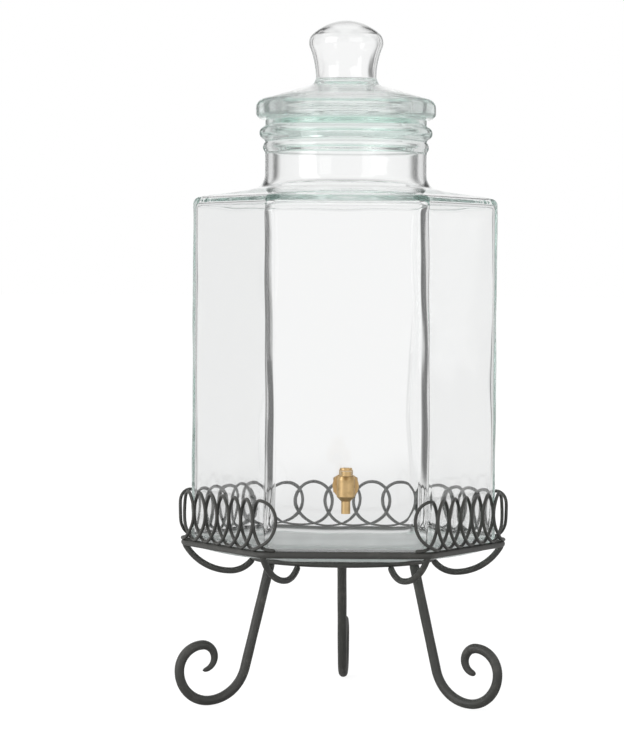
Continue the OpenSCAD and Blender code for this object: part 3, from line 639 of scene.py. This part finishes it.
def outward(turn):
    """Unit vectors away from the jar's axis, at turns from the front in radians."""
    return np.stack([np.sin(turn), -np.cos(turn), 0 * turn], -1)


def sideways(turn):
    """Unit vectors to the right of outward."""
    return np.stack([np.cos(turn), np.sin(turn), 0 * turn], -1)


def hexagon_path(s, half_width, bend):
    """Points, turns and the length of a side, at distances s along a six-sided path from the front's
    middle: straight on a face, then a circle's arc round the bend."""
    straight = 2 * (half_width - bend) * np.tan(SECTOR / 2)
    side = straight + bend * SECTOR
    face = np.floor(s / side + 0.5)
    local = s - face * side
    past = np.maximum(np.abs(local) - straight / 2, 0)
    turn = face * SECTOR + np.sign(local) * past / bend
    level = np.clip(local, -straight / 2, straight / 2)
    points = (
        level[:, None] * sideways(face * SECTOR)
        + (half_width - bend) * outward(face * SECTOR)
        + bend * outward(turn)
    )
    return points, turn, side


# %% [markdown]
# ## The two rings and the arms
# A six-sided ring goes round the jar just above its base, and a smaller round ring carries it. Six
# arms join them: each leaves a corner of the upper ring, dips under the jar and climbs to the lower.
# A hand-drawn curve could do, but an arm is two arcs that meet at its lowest point, so its bends are
# worked out from the rings and from the jar's heel, which it has to clear.

# %% Rings and arms
RING_A, RING_BEND, RING_Z, RING_ROD = 119.0, 10.0, 132.0, 6.0
SEAT_R, SEAT_Z, SEAT_ROD = 77.0, 120.2, 5.0
ring_side = hexagon_path(np.zeros(1), RING_A, RING_BEND)[2]
ring_path = hexagon_path(np.linspace(0, 6 * ring_side, 360, endpoint=False), RING_A, RING_BEND)[0]
UP = np.array([0.0, 0.0, 1.0])
rod("ring_of_six_sides", ring_path + RING_Z * UP, RING_ROD, UP, "gallery_ring", closed=True)
seat_turn = np.linspace(0, 2 * np.pi, 180, endpoint=False)
seat_path = SEAT_R * outward(seat_turn) + SEAT_Z * UP
rod("ring_under_jar", seat_path, SEAT_ROD, UP, "seat_ring", closed=True)

ARM_LOW_R, ARM_DROP, ARM_ROD, WELD = 96.6, 15.5, 5.4, 0.6
HEEL, CLEARANCE = 9.0, 0.3
heel_run = JAR_A / np.cos(SECTOR / 2) - HEEL - ARM_LOW_R
heel_rise, heel_room = ARM_DROP + HEEL, HEEL + CLEARANCE + ARM_ROD / 2
arm_bend = (heel_run**2 + heel_rise**2 - heel_room**2) / (2 * (heel_rise - heel_room))
ring_corner = (RING_A - RING_BEND) / np.cos(SECTOR / 2) + RING_BEND
arm_low_z = SEAT - ARM_DROP
arm_turn = np.degrees(np.arctan2(RING_Z - arm_low_z - arm_bend, ring_corner - ARM_LOW_R))
seat_run, seat_rise = ARM_LOW_R - SEAT_R, ARM_DROP - CLEARANCE - SEAT_ROD + WELD
arm_in_bend = (seat_run**2 + seat_rise**2) / (2 * seat_rise)
arm_in_turn = 2 * np.degrees(np.arctan(seat_rise / seat_run))
arm_flat = np.concatenate([
    arc(ARM_LOW_R, arm_low_z + arm_in_bend, arm_in_bend, -90 - arm_in_turn, -90, 24)[:-1],
    arc(ARM_LOW_R, arm_low_z + arm_bend, arm_bend, -90, arm_turn, 30),
])
ARMS = {
    "front_left": -30,
    "front_right": 30,
    "left": -90,
    "right": 90,
    "back_left": -150,
    "back_right": 150,
}
for name, degrees in ARMS.items():
    way = np.radians(degrees)
    path = arm_flat[:, :1] * outward(way) + arm_flat[:, 1:] * UP
    rod("rod_arm_" + name, path, ARM_ROD, sideways(way), "arm_" + name)

# %% [markdown]
# ## The legs
# Each leg leans outwards, turns along the table and curls up into a scroll whose bends tighten, as a
# smith makes it by rolling a heated end. A spiral curve could stand for it, but four arcs in a row
# give each bend its own size. The tip is drawn out thinner before it is rolled. No leg stands quite
# true: two are turned a few degrees about their welds, and one is welded out of its place.

# %% Legs
LEG_ROD, LEAN, FOOT_R = 8.2, np.radians(14.6), 128.0
foot_z = LEG_ROD / 2 - 0.3
leg_weld = SEAT_R - (SEAT_ROD + LEG_ROD / np.cos(LEAN)) / 2 + WELD
foot_run = (FOOT_R - leg_weld) * np.cos(LEAN) - (SEAT_Z - foot_z) * np.sin(LEAN)
bends = np.array([foot_run / (1 - np.sin(LEAN)), 26, 21, 10.7])
starts = np.array([180 + np.degrees(LEAN), 270, 360, 450])
ends = np.array([270, 360, 450, 630])
centres = [np.array([FOOT_R, foot_z + bends[0]])]
for k in (1, 2, 3):
    way = np.radians(starts[k])
    centres.append(centres[-1] + (bends[k - 1] - bends[k]) * np.array([np.cos(way), np.sin(way)]))
curl = [arc(*centres[k], bends[k], starts[k], ends[k], 26)[1:] for k in range(4)]
stem_foot = centres[0] - bends[0] * np.array([np.cos(LEAN), np.sin(LEAN)])
stem_rise = (SEAT_Z - stem_foot[1]) / np.cos(LEAN)
stem_top = stem_foot + stem_rise * np.array([-np.sin(LEAN), np.cos(LEAN)])
leg_flat = np.concatenate([run(stem_top, stem_foot, 40), *curl])
LEGS = {
    "left": (-60, -5.5, (34, 0.45)),
    "right": (56, 0, (30, 0.62)),
    "back": (180, -3, (30, 0.6)),
}
for name, (degrees, twist, tip) in LEGS.items():
    way, turned = np.radians(degrees), np.radians(degrees + twist)
    past_weld = leg_flat[:, :1] - leg_weld
    path = leg_weld * outward(way) + past_weld * outward(turned) + leg_flat[:, 1:] * UP
    rod("scroll_leg_" + name, path, LEG_ROD, sideways(turned), "leg_" + name, tip=tip)

# %% [markdown]
# ## The gallery of loops
# Five sides of the upper ring carry a thin wire wound into loops that lap over each other. A point
# going round while it moves along draws such loops; it is the path of a mark on a rolling wheel that
# slips. Copies of one ring would be quicker, but the real wire runs on from loop to loop. A sway in
# and out of the wall lets each loop pass in front of the next.

# %% Loops
LOOP_OFFSET = 2.0
LOOP_A, LOOP_BEND = RING_A + LOOP_OFFSET, RING_BEND + LOOP_OFFSET
LOOP_WIRE, LOOP_TOP, LOOP_LAP, LOOP_SWAY = 2.8, 45.7, 5.5, 2.4
loop_foot = np.sqrt(((RING_ROD + LOOP_WIRE) / 2) ** 2 - LOOP_OFFSET**2) - 0.2
loop_half = (LOOP_TOP - LOOP_WIRE / 2 - loop_foot) / 2
loop_mid = RING_Z + loop_foot + loop_half
loop_side = hexagon_path(np.zeros(1), LOOP_A, LOOP_BEND)[2]


def wire_of_loops(first, last, count):
    """Points along one wire: distance = start + pitch t - reach sin t, sway = sin t + a quarter
    sin 3t, and height = middle + half cos t, where t turns once for each loop. Both ends run on along
    the ring."""
    lead = LOOP_WIRE
    pitch = (last - first - 2 - 2 * lead) / count
    t = np.linspace(-np.pi, -np.pi + 2 * np.pi * count, count * 44 + 1)
    reach = 0.75 * pitch + LOOP_LAP / 2
    s = first + 1 + lead + pitch / 2 + pitch * t / (2 * np.pi) - reach * np.sin(t)
    points, turn = hexagon_path(s, LOOP_A, LOOP_BEND)[:2]
    wound = (
        points
        + (LOOP_SWAY * (np.sin(t) + 0.25 * np.sin(3 * t)))[:, None] * outward(turn)
        + (loop_mid + loop_half * np.cos(t))[:, None] * UP
    )
    leads = np.linspace(lead, 0.4, 6)[:, None]
    begin = wound[:1] - leads * sideways(turn[:1])
    end = wound[-1:] + leads[::-1] * sideways(turn[-1:])
    return np.concatenate([begin, wound, end])


corner_at = loop_side * np.array([0.5, 1.5, 2.5, 3.5])
RUNS = {
    "front_right": (corner_at[0] - 13, corner_at[1], 7, 1),
    "back_right": (corner_at[1], corner_at[2], 6, 1),
    "back_face": (corner_at[2], corner_at[3] - LOOP_WIRE, 5, 1),
    "back_left": (corner_at[1], corner_at[2], 6, -1),
    "front_left": (corner_at[0] - 13, corner_at[1], 7, -1),
}
for name, (first, last, count, hand) in RUNS.items():
    path = wire_of_loops(first, last, count) * np.array([hand, 1, 1])
    away = path * np.array([1, 1, 0])
    rod("wire_loops_" + name, path, LOOP_WIRE, away, "loops_" + name, sides=12, wave=0.0)

# %% [markdown]
# ## The room
# The photograph has a plain white ground. Glass shows only what it bends towards the eye, so for
# bent rays the room has dark cards on both sides of the white, as a photographer sets them up to
# draw the edges of the jar, and soft lamps farther out. Cards could be real planes, but then they
# would show beside the jar. So one formula on a ray's direction gives all that. Floor and sky share
# it, so no horizon shows in the glass.


# %% Room
WHITE, IN_FRONT = 0.965, 0.75
CARD_BESIDE, CARD_ABOVE, LAMP_BESIDE, LAMP_ABOVE = 0.88, 0.4, 0.7, 0.3
FAR_LEFT, FAR_RIGHT = 0.28, 0.08


def rays(paint):
    """Two shares: rays that come straight from the eye, and rays bent or thrown back by a piece."""
    kinds = ("Camera", "Glossy", "Transmission")
    path = [paint.node("ShaderNodeLightPath", output="Is " + kind + " Ray") for kind in kinds]
    return path[0], path[1].most(path[2])


def studio(paint, direction):
    """How bright the room is in a direction: white behind the jar, with dark cards beside and above
    that, soft lamps farther out, and a little dimmer in front, where the photographer stands."""
    across, ahead, up = (
        paint.node("ShaderNodeSeparateXYZ", inputs={0: direction}, output=k) for k in range(3)
    )
    aside = paint.math("ABSOLUTE", across)
    card = CARD_BESIDE * aside.step(0.15, 0.26).most(CARD_ABOVE * up.step(0.25, 0.45))
    lamp = LAMP_BESIDE * aside.step(0.36, 0.48) + LAMP_ABOVE * up.step(0.45, 0.8)
    far = aside.step(0.6, 0.74) * (FAR_LEFT - (FAR_LEFT - FAR_RIGHT) * across.step(-0.1, 0.1))
    share = ahead.step(-0.5, 0.15)
    return share * (WHITE - card + lamp - far) + (1 - share) * IN_FRONT


print("room: white", WHITE, "with cards darker by", CARD_BESIDE, "and lamps brighter by", LAMP_BESIDE)

# %% [markdown]
# ### The floor
# The floor is pale and keeps a soft shadow. What the camera sees of it is mostly its own white. Rays
# bent by the glass see the room's formula far away, a plain pale floor near the jar, so that the
# glass stays clear from above, and right under it a painted shade, darker, where little light gets in.

# %% Floor
FLOOR, DROP = 60.0, -0.0004
NEAR_FLOOR, NEAR_END, FAR_START = 0.82, 2.0, 3.7
# How much the painted shade right under the jar darkens the floor, and where it fades out.
UNDER_SHADE, UNDER_END, OPEN_START = 0.62, 0.12, 0.5
GLOW, GLOW_SHARE = 1.12, 0.82
floor_white, paint = new_material("floor_white")
straight, bent = rays(paint)
place = paint.node("ShaderNodeTexCoord", output="Object")
from_middle = paint.node("ShaderNodeVectorMath", {"operation": "LENGTH"}, {0: place}, output=1)
level = paint.node("ShaderNodeVectorMath", {"operation": "NORMALIZE"}, {0: place})
room = studio(paint, level)
near = 1 - from_middle.step(NEAR_END, FAR_START)
# Painted shade on the floor right under the jar, seen only by rays bent by the glass.
painted_shade_under = 1 - from_middle.step(UNDER_END, OPEN_START)
share = (room + near * (NEAR_FLOOR - room)) * (1 - UNDER_SHADE * painted_shade_under)
dark = paint.node("ShaderNodeEmission", inputs={"Color": (0, 0, 0, 1), "Strength": 0.0})
white = paint.node("ShaderNodeEmission", inputs={"Color": (1, 1, 1, 1), "Strength": 1.0})
glow = paint.node("ShaderNodeEmission", inputs={"Color": (1, 1, 1, 1), "Strength": GLOW})
lit = paint.node("ShaderNodeBsdfDiffuse", inputs={"Color": (0.9, 0.9, 0.9, 1)})
in_glass = paint.node("ShaderNodeMixShader", inputs={0: share, 1: dark, 2: white})
to_eye = paint.node("ShaderNodeMixShader", inputs={0: straight * GLOW_SHARE, 1: lit, 2: glow})
surface = paint.node("ShaderNodeMixShader", inputs={0: bent, 1: to_eye, 2: in_glass})
paint.node("ShaderNodeOutputMaterial", inputs={"Surface": surface})
floor_mesh = bpy.data.meshes.new("floor")
floor_corners = [(x * FLOOR, y * FLOOR, DROP) for x, y in ((-1, -1), (1, -1), (1, 1), (-1, 1))]
floor_mesh.from_pydata(floor_corners, [], [(0, 1, 2, 3)])
floor_mesh.materials.append(floor_white)
floor = bpy.data.objects.new("floor", floor_mesh)
bpy.context.scene.collection.objects.link(floor)
print("floor:", 2 * FLOOR, "m wide")

# %% [markdown]
# ### The sky
# The world is white for the camera and follows the room's formula for bent rays. All other rays find
# a soft light that is stronger from the left, so the left sides of the rods are paler. Light can
# bounce dozens of times inside a thick corner before it comes out. With few bounces allowed the
# corners would turn black, so many are.

# %% Sky
SOFT_RIGHT, SOFT_LEFT = 0.35, 2.2
world = bpy.data.worlds.new("studio")
bpy.context.scene.world = world
world.use_nodes = True
world.node_tree.nodes.clear()
sky = Socket(world.node_tree)
straight, bent = rays(sky)
way = sky.node("ShaderNodeTexCoord", output="Generated")
from_left = (-1 * sky.node("ShaderNodeSeparateXYZ", inputs={0: way})).step(-0.3, 1.0)
black, faint, white, strong = (
    sky.node("ShaderNodeBackground", inputs={"Color": (1, 1, 1, 1), "Strength": strength})
    for strength in (0.0, SOFT_RIGHT, 1.0, SOFT_LEFT)
)
soft = sky.node("ShaderNodeMixShader", inputs={0: from_left, 1: faint, 2: strong})
shown = straight.most(studio(sky, way))
room = sky.node("ShaderNodeMixShader", inputs={0: shown, 1: black, 2: white})
both = sky.node("ShaderNodeMixShader", inputs={0: straight.most(bent), 1: soft, 2: room})
sky.node("ShaderNodeOutputWorld", inputs={"Surface": both})
BOUNCES = 128
cycles = bpy.context.scene.cycles
cycles.max_bounces = cycles.transmission_bounces = cycles.glossy_bounces = BOUNCES
print("sky:", world.name, "with", BOUNCES, "bounces")

# %% [markdown]
# ### The lamps
# Two wide lamps give the metal its shape: a stronger one stands to the left and a weaker one in
# front. Each is turned towards the middle of the jar by a matrix whose columns are its own axes.

# %% Lamps
LAMP_AIM = (0, 0, 0.3)
LAMPS = {
    "key": ((-1.7, -1.1, 1.0), (1.0, 1.7), 11.0),
    "fill": ((1.2, -1.9, 1.0), (0.8, 1.7), 4.0),
}
for name, (place, (wide, tall), power) in LAMPS.items():
    light = bpy.data.lights.new(name, "AREA")
    light.shape, light.size, light.size_y, light.energy = "RECTANGLE", wide, tall, power
    lamp = bpy.data.objects.new(name, light)
    away = np.array(LAMP_AIM) - np.array(place)
    ahead = away / np.linalg.norm(away)
    right = np.cross(ahead, UP) / np.linalg.norm(np.cross(ahead, UP))
    turn_to = np.stack([right, np.cross(right, ahead), -ahead], -1)
    lamp.matrix_world = Matrix.Translation(place) @ Matrix(turn_to.tolist()).to_4x4()
    bpy.context.scene.collection.objects.link(lamp)
print("lamps:", list(LAMPS))
